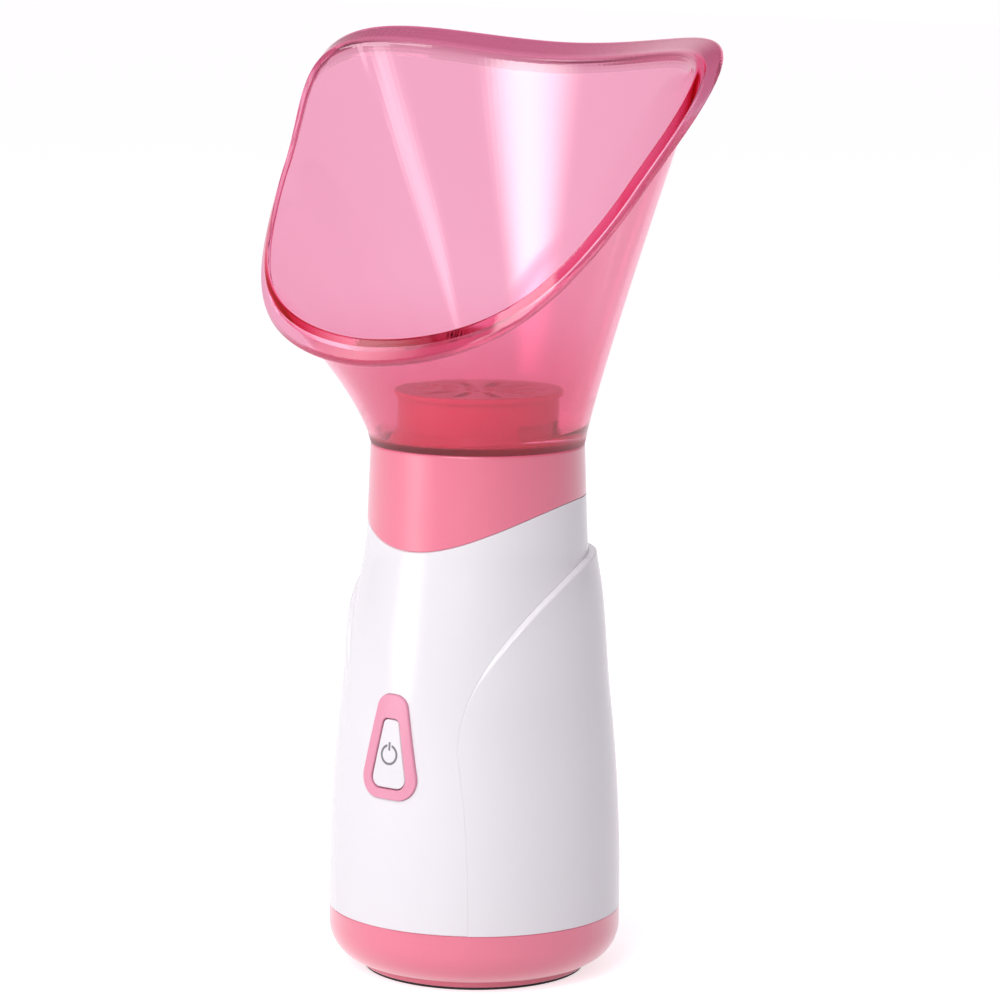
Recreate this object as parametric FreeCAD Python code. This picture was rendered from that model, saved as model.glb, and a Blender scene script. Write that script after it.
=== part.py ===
import FreeCAD, Part
import math
import os

from FreeCAD import Vector

# Facial steamer: a white two-shell housing on a pink base, a pink collar, a lift-out steam
# nozzle over a metal water cup with a PTC heater, and a clear pink mask that plugs in on top.
# Millimetres. Z is up, the vertical axis is x = y = 0, the floor is z = 0 and the front is -Y.

os.makedirs("parts", exist_ok=True)

# --- walls and clearances -------------------------------------------------------------------
wall = 2.2              # moulded walls of housing, base and collar
fit_gap = 0.1           # between fixed pieces that plug together
run_gap = 0.3           # between pieces that move against each other
screw_tip_play = 0.5    # free depth past a screw's tip
thread_gap = 0.03       # between a screw and the plastic it is driven into
tight_round = 0.3       # smallest corner of a moulded outline
seam_round = 0.3        # edges of the pieces where they meet
rim_round = 0.7         # free edges: the rear shell's arch and the collar's rim
touch_round = 0.4       # edges of bezel, button and nozzle

# --- housing and base outline ---------------------------------------------------------------
plinth_z = 0.8          # underside of the plinth
bowl_foot_z = 3.2       # where the bowl of the base rises from the plinth
bowl_round = 11.0       # radius of the bowl's round side, in section
plinth_in = 9.6         # how far the plinth stands in from the bowl
base_seam_z = 18.4      # the base meets the housing here
belly_z = 24.0          # the housing is straight up to here
waist_z = 126.0         # the curved flank ends here
collar_top_z = 154.7    # rim of the collar, where the mask rests
base_r = 42.6
waist_drop = 10.8       # the waist's radius is smaller than the base's by this
collar_rim = 2.1        # width of the collar's rim, outside the mask's bore
neck_taper = 0.038      # growth of the neck's radius per mm downwards
waist_blend = 0.25      # how softly the flank runs into the neck
outline_step = 6.0      # spacing of the levels that carry the housing's curve

# --- raised rear shell ----------------------------------------------------------------------
saddle_rise = 2.2       # how far the rear shell stands proud at its top edge
saddle_low_z = 80.0     # below this the two shells are flush
saddle_full_z = 120.0   # above this the rear shell stands fully proud
arch_y = 20.5           # side view of the edge between the shells: an arc about this depth...
arch_in = 7.5           # ...that starts upright, this far in from the front of the base...
arch_top_z = 123.6      # ...and runs level to the back at this height
rim_depth = 2.6         # solid edge round the rear shell
pocket_low_z = 88.0     # the rear shell is thinned from here up to its rim

# --- collar ---------------------------------------------------------------------------------
collar_seam_z = 140.0   # the collar's lower edge at the sides and back...
collar_seam_r = 68.0    # ...and the arc in which it sweeps down to the front...
collar_seam_y = 9.0     # ...starting at this depth
ledge_t = 2.4           # ledge inside the collar, the water cup's seat
shelf_t = 2.0           # shelf in the housing that carries the collar
shelf_z = 123.8         # underside of the shelf
skirt_h = 3.0           # lip under the shelf, behind the rear shell's edge
skirt_t = 1.6
collar_screw_r = 1.2
collar_screw_count = 3
collar_screw_len = 8.0  # depth of the holes
collar_screw_head_r = 2.1
collar_boss_r = 2.6

# --- screws and feet ------------------------------------------------------------------------
screw_r = 1.3
screw_head_r = 2.6
screw_head_h = 1.8
screw_clear_r = 1.6
post_r = 4.0
boss_r = 3.4
post_in = 18.6          # the four base screws stand this far in from the base's outside
front_post_angle = 22.0 # from the front
rear_post_angle = 40.0  # from the back
boss_h = 15.0
boss_rib_t = 1.8
base_screw_len = 18.0
tongue_h = 3.0          # lip of the base inside the shells
foot_in = 0.8           # between the rubber ring and the plinth's edge
foot_w = 2.8
foot_groove = 0.6

# --- water cup and heater -------------------------------------------------------------------
cup_wall = 1.0
cup_depth = 54.0
cup_play = 0.6          # round the cup, in collar and shelf
cup_flange_in = 1.9     # between the cup's flange and the bore it lies in
cup_flange_w = 4.0
cup_corner = 5.0
gasket_t = 1.0
plate_in = 3.0          # the heater plate is smaller than the cup by this
plate_t = 3.0
ptc_len = 34.0
ptc_w = 20.0
ptc_t = 5.0
clamp_t = 1.5
clamp_w = 31.0
stud_r = 1.5
stud_y = 15.5           # the two studs under the cup, front and back
nut_af = 5.5            # across flats
nut_t = 2.4
thermostat_r = 7.5
thermostat_h = 6.0
fuse_r = 2.0
fuse_len = 9.0
fuse_x = 13.0
blade_w = 4.8           # flat terminals
blade_t = 0.8
blade_len = 6.0

# --- steam nozzle ---------------------------------------------------------------------------
nozzle_h = 23.6         # top plate above the nozzle's seat
nozzle_plate_t = 1.5
nozzle_plate_lip = 1.1  # the plate overhangs the drum by this
nozzle_foot_play = 0.5  # between the foot and the mask's spigot
nozzle_foot_h = 8.0
nozzle_flare_h = 4.3    # sloping stretch between foot and drum
nozzle_flare_w = 3.0
nozzle_wall = 1.8
nozzle_plug_h = 6.0     # plug that enters the cup
nozzle_gasket_t = 0.8
slot_count = 10
slot_in_r = 7.0
slot_edge = 3.8         # between a slot's end and the drum's outside
slot_w = 2.6
hub_hole_r = 1.5
hub_hole_ring_r = 3.6
hub_hole_count = 5
grip_low_h = 9.4        # finger recesses on the nozzle's two sides, above its seat
grip_high_h = 15.0
grip_w = 19.0
grip_depth = 1.0
baffle_t = 1.2
baffle_hole_r = 1.6
baffle_ring_r = 13.0
baffle_hole_count = 12

# --- mask -----------------------------------------------------------------------------------
mask_wall = 2.0
spigot_len = 7.5
spigot_r = 28.6
spigot_wall = 1.8
spigot_play = 0.8       # between the spigot and the cup's flange below it
seal_w = 2.2            # silicone ring round the spigot
seal_depth = 1.0
seal_rise = 2.8         # middle of the seal above the spigot's end
mouth_low_y = -54.0     # lowest point of the mouth
mouth_rise = 35.0       # height of that point above the collar
mouth_tilt = 49.8       # lean of the mouth from upright, towards the back, in degrees
mouth_len = 114.8
mouth_half_w = 60.8
mouth_spread = 0.173    # the mouth is wider at the top than at the chin...
mouth_spread_2 = 0.408  # ...with this share of the widening at both ends
mouth_chin_power = 1.8  # roundness of the chin: 2 is an ellipse, more is squarer
mouth_brow_power = 2.6  # squareness of the two upper corners
mouth_curl = -7.0       # how far the sides stand forward of the mouth's plane
mouth_corner_curl = -7.5
lip_chin = 7.0          # width of the turned-out lip at the chin...
lip_brow = 11.0         # ...at the brow...
lip_side = 3.0          # ...and at the sides
lip_back = 3.0          # the lip's edge lies this far behind the mouth's plane
front_flare = 1.39      # 1 is a straight cone from neck to mouth, more is a trumpet
back_flare = 1.09
mask_levels = 8
mask_ring_points = 48
neck_shoulder_h = 2.4   # solid shoulder between spigot and wall

# --- button ---------------------------------------------------------------------------------
bezel_low_x = 3.5       # rounds of the bezel's outline: the lower pair...
bezel_low_z = 62.2
bezel_low_r = 6.0
bezel_high_x = 1.0      # ...and the upper pair
bezel_high_z = 81.8
bezel_high_r = 4.4
cap_low_x = 3.0         # the same for the button inside it
cap_low_z = 62.2
cap_low_r = 2.8
cap_high_x = 1.2
cap_high_z = 77.4
cap_high_r = 1.6
bezel_proud = 0.8
bezel_lip = 1.4         # retaining lip behind the housing's wall
cap_proud = 0.4
cap_skin = 1.6
cap_flange = 1.0
cap_flange_t = 1.0
button_travel = 1.2
button_z = 69.0         # centre of the switch and the power mark
stem_r = 2.2
mark_r = 3.0
mark_line = 0.7
mark_depth = 0.2
mark_gap = 1.5          # opening in the ring, where the short bar stands
plunger_r = 1.6

# --- control board --------------------------------------------------------------------------
board_in = 13.7         # front face of the board, in from the housing's outside
board_t = 1.6
board_w = 32.0
board_low_z = 46.0
board_h = 38.0
board_hole_x = 11.5
board_hole_edge = 3.5
board_post_r = 2.4
board_screw_r = 1.1
board_screw_len = 6.0
board_screw_head_r = 2.1
board_screw_head_h = 1.4
switch_side = 8.0
switch_depth = 5.6
led_r = 1.5
led_len = 3.6
led_x = 5.9
triac_w = 10.0
triac_h = 15.0
triac_t = 4.5
triac_z = 65.0
triac_x = -10.0
triac_hole_r = 1.8
cap_w = 13.0
cap_h = 11.0
cap_t = 5.0
cap_x = 8.0
cap_z = 64.0
block_h = 8.0
block_t = 9.0
block_z = 51.5
block_pitch = 4.6
block_way_count = 4

# --- mains inlet ----------------------------------------------------------------------------
inlet_z = 34.0
inlet_w = 19.0
inlet_h = 11.4
inlet_wall = 1.6
inlet_depth = 12.5      # of the recess
inlet_floor = 2.0
inlet_flange = 3.0
inlet_flange_t = 1.6
inlet_face_in = 0.2     # the inlet's mouth, in from the rear wall's outside
inlet_pad_in = 6.6      # flat pad inside the rear shell, where the flange is screwed
inlet_pad_w = 32.0
inlet_pad_h = 20.0
inlet_screw_x = 13.0
inlet_screw_len = 5.0
pin_r = 1.2
pin_pitch = 8.6
pin_len = 9.5
pin_tail_r = 0.8
pin_tail_len = 5.0
lead_r = 1.0
lead_reach = 9.0        # straight run out of a terminal


# --- general shapes -------------------------------------------------------------------------
def vec(x, y, z):
    return Vector(x, y, z)


def on_circle(radius, angle, z=0.0):
    """A point at a radius, at an angle in degrees counted from +X."""
    a = math.radians(angle)
    return Vector(radius * math.cos(a), radius * math.sin(a), z)


def rod(radius, start, end):
    """A round bar from one point to another."""
    return Part.makeCylinder(radius, (end - start).Length, start, end - start)


def tube(outer, inner, low, high):
    """A ring about the vertical axis, between two levels."""
    ring = Part.makeCylinder(outer, high - low, vec(0, 0, low))
    return ring.cut(Part.makeCylinder(inner, high - low, vec(0, 0, low)))


def block(width, depth, height, centre):
    """A box by its middle."""
    corner = centre - vec(width / 2, depth / 2, height / 2)
    return Part.makeBox(width, depth, height, corner)


def join(shapes):
    """One solid from pieces that overlap."""
    first = shapes[0]
    return first.fuse(shapes[1:]).removeSplitter()


def spun(points):
    """The solid swept by a closed outline of (radius, level) points about the vertical axis."""
    corners = [vec(r, 0, z) for r, z in points]
    face = Part.Face(Part.makePolygon(corners + corners[:1]))
    return face.revolve(vec(0, 0, 0), vec(0, 0, 1), 360)


def levels(low, high):
    """Evenly spaced levels for a curve from low to high, both included."""
    count = max(3, math.ceil((high - low) / outline_step))
    return [low + (high - low) * i / count for i in range(count + 1)]


def curve_up(radius_at, low, high):
    """A smooth meridian through radius_at(level)."""
    line = Part.BSplineCurve()
    line.interpolate([vec(radius_at(z), 0, z) for z in levels(low, high)])
    return line.toShape()


def spun_shell(outer_at, inner_at, low, high):
    """The wall between two meridians, closed level at both ends."""
    outer = curve_up(outer_at, low, high)
    inner = curve_up(inner_at, low, high)
    foot = Part.makeLine(vec(inner_at(low), 0, low), vec(outer_at(low), 0, low))
    head = Part.makeLine(vec(outer_at(high), 0, high), vec(inner_at(high), 0, high))
    face = Part.Face(Part.Wire([foot, outer, head, inner]))
    return face.revolve(vec(0, 0, 0), vec(0, 0, 1), 360)


def side_prism(edges):
    """A side-view outline in the YZ plane, run right across the object in X."""
    reach = 2 * base_r
    face = Part.Face(Part.Wire(edges))
    face.translate(vec(-reach, 0, 0))
    return face.extrude(vec(2 * reach, 0, 0))


def side_line(a, b):
    return Part.makeLine(vec(0, *a), vec(0, *b))


def off_axis(p):
    return math.hypot(p.x, p.y)


def soften(shape, radius, on_edge):
    """Round the edges that lie, at every point, where a test says."""
    edges = [e for e in shape.Edges if e.Length > radius and all(on_edge(p) for p in e.discretize(5))]
    return shape.makeFillet(radius, edges)


def save(name, shape):
    """Write one node; a single solid is stored without its wrapper."""
    if len(shape.Solids) == 1:
        shape = shape.Solids[0]
    shape.exportStep("parts/" + name + ".step")
    print(name, len(shape.Solids), shape.isValid(), round(shape.Volume / 1000, 3))


# --- the outline that housing and collar share ----------------------------------------------
bore_r = spigot_r + run_gap
collar_top_r = bore_r + collar_rim


def body_r(z):
    """Outer radius of housing and collar: an upright foot, a curved flank and a tapered neck."""
    rise = waist_z - belly_z
    flank_round = (rise * rise + waist_drop * waist_drop) / (2 * waist_drop)
    up = min(max(z - belly_z, 0.0), flank_round)
    flank = base_r - flank_round + math.sqrt(flank_round ** 2 - up ** 2)
    neck = collar_top_r + neck_taper * (collar_top_z - z)
    return (flank + neck + math.hypot(flank - neck, 2 * waist_blend)) / 2


def body_inner_r(z):
    return body_r(z) - wall


def on_outline(p, radius_at):
    return abs(off_axis(p) - radius_at(p.z)) < fit_gap / 2


def on_level(p, z):
    return abs(p.z - z) < fit_gap / 2


def saddle_r(z):
    """Outer radius of the rear shell, which swells out of the flank towards its top edge."""
    u = (z - saddle_low_z) / (saddle_full_z - saddle_low_z)
    u = min(max(u, 0.0), 1.0)
    return body_r(z) + saddle_rise * u * u * (3 - 2 * u)


def arch_centre_z():
    return arch_top_z - (arch_y + base_r - arch_in)


def on_arch(p):
    """Whether a point is on the edge of the rear shell that faces the arch and the level behind it."""
    slack = fit_gap / 2
    r = arch_top_z - arch_centre_z() - fit_gap
    if p.y > arch_y - slack:
        return abs(p.z - (arch_top_z - fit_gap)) < slack
    if p.z > arch_centre_z() - slack:
        return abs(math.hypot(p.y - arch_y, p.z - arch_centre_z()) - r) < slack
    return abs(p.y - (arch_y - r)) < slack


def rear_region(inset):
    """Everything behind and under the arch that parts the two shells."""
    centre_z = arch_centre_z()
    r = arch_top_z - centre_z - inset
    back = 2 * base_r
    low = -collar_top_z
    crown = (arch_y, centre_z + r)
    foot = (arch_y - r, low)
    start = (arch_y - r, centre_z)
    slope = math.sqrt(0.5) * r
    far = (back, crown[1])
    arc = Part.Arc(vec(0, *start), vec(0, arch_y - slope, centre_z + slope), vec(0, *crown))
    edges = [side_line(foot, start), arc.toShape(), side_line(crown, far)]
    edges += [side_line(far, (back, low)), side_line((back, low), foot)]
    return side_prism(edges)


def collar_region(drop):
    """Everything above the collar's lower edge, lowered by a small drop."""
    front = -base_r
    centre = (collar_seam_y, collar_seam_z - collar_seam_r - drop)

    def on_arc(y):
        rise = math.sqrt(collar_seam_r ** 2 - (y - centre[0]) ** 2)
        return (y, centre[1] + rise)

    start = on_arc(front)
    middle = on_arc((front + collar_seam_y) / 2)
    end = on_arc(collar_seam_y)
    back = (2 * base_r, end[1])
    top = 2 * collar_top_z
    arc = Part.Arc(vec(0, *start), vec(0, *middle), vec(0, *end))
    edges = [arc.toShape(), side_line(end, back), side_line(back, (back[0], top))]
    edges += [side_line((back[0], top), (front, top)), side_line((front, top), start)]
    return side_prism(edges)


# --- shared places --------------------------------------------------------------------------
shelf_top_z = shelf_z + shelf_t
skirt_inner_r = body_inner_r(shelf_z) - fit_gap - skirt_t
spigot_low_z = collar_top_z - spigot_len
spigot_bore_r = spigot_r - spigot_wall
seal_z = spigot_low_z + seal_rise
ledge_z = spigot_low_z - spigot_play - cup_wall - gasket_t
cup_flange_r = bore_r - cup_flange_in
cup_r = cup_flange_r - cup_flange_w
plate_r = cup_r - plate_in
nozzle_foot_r = spigot_bore_r - nozzle_foot_play
nozzle_drum_r = nozzle_foot_r - nozzle_flare_w
nozzle_plate_r = nozzle_drum_r + nozzle_plate_lip
mouth_low_z = collar_top_z + mouth_rise
post_ring_r = base_r - post_in
plinth_r = base_r - plinth_in
foot_outer_r = plinth_r - foot_in
foot_inner_r = foot_outer_r - foot_w
bowl_centre_r = base_r - bowl_round
bowl_centre_z = bowl_foot_z + math.sqrt(bowl_round ** 2 - (bowl_round - 3 * wall) ** 2)
floor_top_z = bowl_centre_z - (bowl_round - wall)
floor_low_z = floor_top_z - wall
post_top_z = base_seam_z
head_seat_z = floor_top_z + 2 * wall
gasket_low_z = ledge_z
flange_low_z = gasket_low_z + gasket_t
flange_top_z = flange_low_z + cup_wall
cup_low_z = flange_top_z - cup_depth
plate_low_z = cup_low_z - plate_t
ptc_low_z = plate_low_z - ptc_t
clamp_low_z = ptc_low_z - clamp_t
nozzle_seat_z = flange_top_z + nozzle_gasket_t
nozzle_top_z = nozzle_seat_z + nozzle_h
nozzle_foot_top_z = nozzle_seat_z + nozzle_foot_h
nozzle_drum_low_z = nozzle_foot_top_z + nozzle_flare_h
board_y = board_in - body_r(button_z)
board_back_y = board_y + board_t
board_high_z = board_low_z + board_h
switch_front_y = board_y - switch_depth
inlet_face_y = body_r(inlet_z) - inlet_face_in
inlet_pad_y = body_r(inlet_z) - inlet_pad_in


def post_places():
    """The four base screws: two under the front shell, then two under the rear shell."""
    front = [on_circle(post_ring_r, -90 + side * front_post_angle) for side in (-1, 1)]
    rear = [on_circle(post_ring_r, 90 + side * rear_post_angle) for side in (-1, 1)]
    return front, rear


def screw_boss(place):
    """A boss over a base post, with a rib out to the shell's wall."""
    low = place + vec(0, 0, post_top_z)
    high = low + vec(0, 0, boss_h)
    barrel = rod(boss_r, low, high)
    rib_low = base_seam_z + tongue_h + fit_gap
    rib_h = high.z - rib_low
    reach = body_inner_r(high.z) + wall / 2 - post_ring_r
    rib = Part.makeBox(reach, boss_rib_t, rib_h, vec(post_ring_r, -boss_rib_t / 2, rib_low))
    rib.rotate(vec(0, 0, 0), vec(0, 0, 1), math.degrees(math.atan2(place.y, place.x)))
    pilot = rod(screw_r + thread_gap, low, high - vec(0, 0, wall))
    return barrel, rib, pilot


def add_bosses(shell, places):
    for place in places:
        barrel, rib, pilot = screw_boss(place)
        shell = join([shell, barrel, rib]).cut(pilot)
    return shell


# --- button outlines ------------------------------------------------------------------------
def rounded_trapezoid(low_x, low_z, low_r, high_x, high_z, high_r, grow):
    """Front-view outline drawn tight round two lower and two upper rounds, as a prism along Y."""
    r1 = max(low_r + grow, tight_round)
    r2 = max(high_r + grow, tight_round)
    dx = high_x - low_x
    dz = high_z - low_z
    lean = math.atan2(dz, dx) - math.acos((r1 - r2) / math.hypot(dx, dz))
    reach = 2 * base_r

    def at(x, z, r, angle):
        return vec(x + r * math.cos(angle), -reach, z + r * math.sin(angle))

    def mirror(p):
        return vec(-p.x, p.y, p.z)

    down = -math.pi / 2
    up = math.pi / 2
    foot = at(low_x, low_z, r1, down)
    corner = at(low_x, low_z, r1, (down + lean) / 2)
    side_low = at(low_x, low_z, r1, lean)
    side_high = at(high_x, high_z, r2, lean)
    shoulder = at(high_x, high_z, r2, (up + lean) / 2)
    crown = at(high_x, high_z, r2, up)
    edges = [
        Part.makeLine(mirror(foot), foot),
        Part.Arc(foot, corner, side_low).toShape(),
        Part.makeLine(side_low, side_high),
        Part.Arc(side_high, shoulder, crown).toShape(),
        Part.makeLine(crown, mirror(crown)),
        Part.Arc(mirror(crown), mirror(shoulder), mirror(side_high)).toShape(),
        Part.makeLine(mirror(side_high), mirror(side_low)),
        Part.Arc(mirror(side_low), mirror(corner), mirror(foot)).toShape(),
    ]
    return Part.Face(Part.Wire(edges)).extrude(vec(0, reach, 0))


def bezel_prism(grow):
    return rounded_trapezoid(
        bezel_low_x, bezel_low_z, bezel_low_r, bezel_high_x, bezel_high_z, bezel_high_r, grow
    )


def cap_prism(grow):
    return rounded_trapezoid(cap_low_x, cap_low_z, cap_low_r, cap_high_x, cap_high_z, cap_high_r, grow)


def skin(inner_rise, outer_rise):
    """A band of the housing's outline round the button, by its rises off the outer surface."""
    low = bezel_low_z - bezel_low_r - 2 * bezel_lip - cap_flange
    high = bezel_high_z + bezel_high_r + 2 * bezel_lip + cap_flange
    return spun_shell(lambda z: body_r(z) + outer_rise, lambda z: body_r(z) + inner_rise, low, high)


def inside_of_wall(low):
    """The space inside the housing, out to the middle of its wall, above a level."""
    return spun_shell(lambda z: body_r(z) - wall / 2, lambda z: tight_round, low, waist_z)


# --- housing --------------------------------------------------------------------------------
def make_front_housing():
    top = collar_seam_z + wall
    shell = spun_shell(body_r, body_inner_r, base_seam_z, top)
    shell = shell.cut(collar_region(0.0))
    shell = shell.cut(rear_region(0.0))
    shelf = tube(body_inner_r(shelf_top_z) + wall / 2, cup_r + cup_play, shelf_z, shelf_top_z)
    skirt = tube(skirt_inner_r + skirt_t, skirt_inner_r, shelf_z - skirt_h, shelf_z + shelf_t / 2)
    shell = join([shell, shelf, skirt])
    front, _ = post_places()
    shell = add_bosses(shell, front)
    for place in board_places():
        shell = join([shell, board_post(place)]).cut(board_pilot(place))
    for place in collar_screw_places():
        hole = rod(collar_screw_r + fit_gap, place + vec(0, 0, shelf_z), place + vec(0, 0, shelf_top_z))
        shell = shell.cut(hole)
    shell = soften(shell, seam_round, lambda p: on_outline(p, body_r) and on_level(p, base_seam_z))
    return shell.cut(bezel_prism(fit_gap))


def make_rear_housing():
    top = arch_top_z + wall
    shell = spun_shell(saddle_r, body_inner_r, base_seam_z, top)
    shell = shell.common(rear_region(fit_gap))
    pocket_top = arch_top_z - rim_depth
    pocket = spun_shell(
        lambda z: saddle_r(z) - wall, lambda z: body_inner_r(z) - wall, pocket_low_z, pocket_top
    )
    shell = shell.cut(pocket.common(rear_region(rim_depth)))
    shell = soften(shell, rim_round, lambda p: on_outline(p, saddle_r) and on_arch(p))
    _, rear = post_places()
    shell = add_bosses(shell, rear)
    return add_inlet_pad(shell)


def board_places():
    """The board's four screws, on its front face."""
    low = board_low_z + board_hole_edge
    high = board_high_z - board_hole_edge
    return [vec(x, board_y, z) for x in (-board_hole_x, board_hole_x) for z in (low, high)]


def board_post(place):
    """A post from the front shell's wall back to the board."""
    wall_depth = math.sqrt(body_inner_r(place.z) ** 2 - (abs(place.x) + board_post_r) ** 2)
    end = vec(place.x, -wall_depth - wall / 2, place.z)
    return rod(board_post_r, place, end).common(inside_of_wall(belly_z))


def board_pilot(place):
    return rod(board_screw_r + thread_gap, place, place - vec(0, board_screw_len - board_t, 0))


def add_inlet_pad(shell):
    """The flat pad behind the rear wall, with the inlet's hole and screw holes."""
    depth = body_inner_r(inlet_z) + wall / 2 - inlet_pad_y
    pad = block(inlet_pad_w, depth, inlet_pad_h, vec(0, inlet_pad_y + depth / 2, inlet_z))
    pad = pad.common(inside_of_wall(base_seam_z))
    hole = stadium(inlet_w + 2 * fit_gap, inlet_h + 2 * fit_gap, 0, 2 * base_r)
    shell = join([shell, pad]).cut(hole)
    for place in inlet_screw_places():
        depth = inlet_screw_len - inlet_flange_t
        shell = shell.cut(rod(board_screw_r + thread_gap, place, place + vec(0, depth, 0)))
    return shell


# --- collar ---------------------------------------------------------------------------------
def collar_screw_places():
    ring = skirt_inner_r - collar_screw_head_r - fit_gap
    return [on_circle(ring, 90 + 360 * i / collar_screw_count) for i in range(collar_screw_count)]


def make_collar():
    low = shelf_top_z
    skin_low = low + fit_gap
    outside = spun_shell(body_r, body_inner_r, skin_low, collar_top_z).common(collar_region(-fit_gap))
    sleeve = spun_shell(
        lambda z: body_inner_r(z) - fit_gap, lambda z: body_inner_r(z) - fit_gap - wall, low, collar_top_z
    )
    inner = body_inner_r(ledge_z)
    bridge = spun_shell(
        lambda z: body_inner_r(z) + wall / 2, lambda z: inner - wall, collar_seam_z + fit_gap, collar_top_z
    )
    ledge = tube(inner, cup_r + cup_play, ledge_z - ledge_t, ledge_z)
    ring = join([outside, sleeve, bridge, ledge])
    ring = soften(ring, rim_round, lambda p: on_outline(p, body_r) and on_level(p, collar_top_z))
    ring = soften(ring, seam_round, lambda p: on_outline(p, body_r) and skin_low < p.z < collar_seam_z + wall)
    for place in collar_screw_places():
        boss = rod(collar_boss_r, place + vec(0, 0, low), place + vec(0, 0, ledge_z - ledge_t / 2))
        ring = join([ring, boss])
    for place in collar_screw_places():
        start = place + vec(0, 0, low)
        ring = ring.cut(rod(collar_screw_r + thread_gap, start, start + vec(0, 0, collar_screw_len)))
    return ring.cut(Part.makeCylinder(bore_r, 2 * wall + collar_top_z - ledge_z, vec(0, 0, ledge_z)))


def screws(places, radius, head_r, head_h, length, direction):
    """Round-head screws with a drive recess; each place is the underside of a head."""
    group = []
    for place in places:
        shank = rod(radius, place, place + direction * length)
        head = rod(head_r, place - direction * head_h, place)
        recess = rod(head_r * 0.4, place - direction * head_h, place - direction * head_h * 0.4)
        group.append(join([head, shank]).cut(recess))
    return Part.makeCompound(group)


def small_screws(places, length, direction):
    """The screws of board and inlet, a little shorter than their holes are deep."""
    reach = length - screw_tip_play
    return screws(places, board_screw_r, board_screw_head_r, board_screw_head_h, reach, direction)


def make_collar_screws():
    up = vec(0, 0, 1)
    places = [place + up * shelf_z for place in collar_screw_places()]
    length = shelf_t + collar_screw_len - screw_tip_play
    return screws(places, collar_screw_r, collar_screw_head_r, screw_head_h, length, up)


# --- base -----------------------------------------------------------------------------------
def bowl_outline(inset):
    """The bowl's round side in section, from its foot up to the upright stretch."""
    r = bowl_round - inset
    low_z = max(bowl_foot_z, bowl_centre_z - r)
    down = bowl_centre_z - low_z
    start = vec(bowl_centre_r + math.sqrt(r * r - down * down), 0, low_z)
    end = vec(bowl_centre_r + r, 0, bowl_centre_z)
    half = (math.asin(down / r)) / 2
    middle = vec(bowl_centre_r + r * math.cos(half), 0, bowl_centre_z - r * math.sin(half))
    return start, middle, end


def turned(start, middle, end, top_z):
    """The solid under a round-sided outline: flat bottom, arc, then upright to the top."""
    axis_low = vec(0, 0, start.z)
    axis_high = vec(0, 0, top_z)
    rim = vec(end.x, 0, top_z)
    arc = Part.Arc(start, middle, end).toShape()
    edges = [Part.makeLine(axis_low, start), arc, Part.makeLine(end, rim)]
    edges += [Part.makeLine(rim, axis_high), Part.makeLine(axis_high, axis_low)]
    return Part.Face(Part.Wire(edges)).revolve(vec(0, 0, 0), vec(0, 0, 1), 360)


def make_base_cover():
    bowl = turned(*bowl_outline(0.0), base_seam_z).cut(turned(*bowl_outline(wall), base_seam_z))
    plinth = tube(plinth_r, foot_inner_r - wall / 2, plinth_z, bowl_foot_z + wall / 2)
    floor = Part.makeCylinder(foot_inner_r, wall, vec(0, 0, floor_low_z))
    under = Part.makeCylinder(foot_inner_r - wall / 2, floor_low_z - plinth_z, vec(0, 0, plinth_z))
    tongue_r = body_inner_r(base_seam_z) - fit_gap
    tongue = tube(tongue_r, tongue_r - wall * 0.8, base_seam_z - tongue_h, base_seam_z + tongue_h)
    root = tube(tongue_r + wall / 2, tongue_r - wall * 0.8, base_seam_z - tongue_h, base_seam_z - 0.5)
    cover = join([bowl, plinth, floor, tongue, root]).cut(under)
    cover = soften(cover, seam_round, lambda p: abs(off_axis(p) - base_r) < fit_gap and on_level(p, base_seam_z))
    cover = soften(cover, touch_round, lambda p: abs(off_axis(p) - plinth_r) < fit_gap and on_level(p, plinth_z))
    front, rear = post_places()
    for place in front + rear:
        post = rod(post_r, place + vec(0, 0, floor_top_z - wall / 2), place + vec(0, 0, post_top_z))
        cover = join([cover, post])
    for place in front + rear:
        well = rod(screw_head_r + run_gap, place + vec(0, 0, plinth_z), place + vec(0, 0, head_seat_z))
        hole = rod(screw_clear_r, place + vec(0, 0, plinth_z), place + vec(0, 0, post_top_z))
        cover = cover.cut(well).cut(hole)
    return cover.cut(tube(foot_outer_r, foot_inner_r, plinth_z, plinth_z + foot_groove))


def make_foot_ring():
    return tube(foot_outer_r, foot_inner_r, 0.0, plinth_z + foot_groove)


def make_base_screws():
    front, rear = post_places()
    up = vec(0, 0, 1)
    places = [place + up * head_seat_z for place in front + rear]
    return screws(places, screw_r, screw_head_r, screw_head_h, base_screw_len, up)


# --- button ---------------------------------------------------------------------------------
def make_bezel():
    ring = bezel_prism(0.0).common(skin(-wall - bezel_lip, bezel_proud))
    lip = bezel_prism(bezel_lip).common(skin(-wall - bezel_lip, -wall - fit_gap))
    bezel = join([ring, lip]).cut(cap_prism(run_gap))
    return soften(bezel, touch_round, lambda p: on_outline(p, lambda z: body_r(z) + bezel_proud))


def make_button_cap():
    back = -wall - bezel_lip - run_gap
    front = cap_prism(0.0).common(skin(back - cap_flange_t, cap_proud))
    flange = cap_prism(cap_flange).common(skin(back - cap_flange_t, back))
    cap = join([front, flange])
    cap = soften(cap, touch_round, lambda p: on_outline(p, lambda z: body_r(z) + cap_proud))
    hollow = cap_prism(-cap_skin).common(skin(back - 2 * cap_flange_t, cap_proud - cap_skin))
    cap = cap.cut(hollow)
    face_y = -body_r(button_z) - cap_proud + cap_skin / 2
    stem = rod(stem_r, vec(0, face_y, button_z), vec(0, plunger_tip_y() - fit_gap, button_z))
    return join([cap, stem]).cut(mark_shape())


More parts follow.
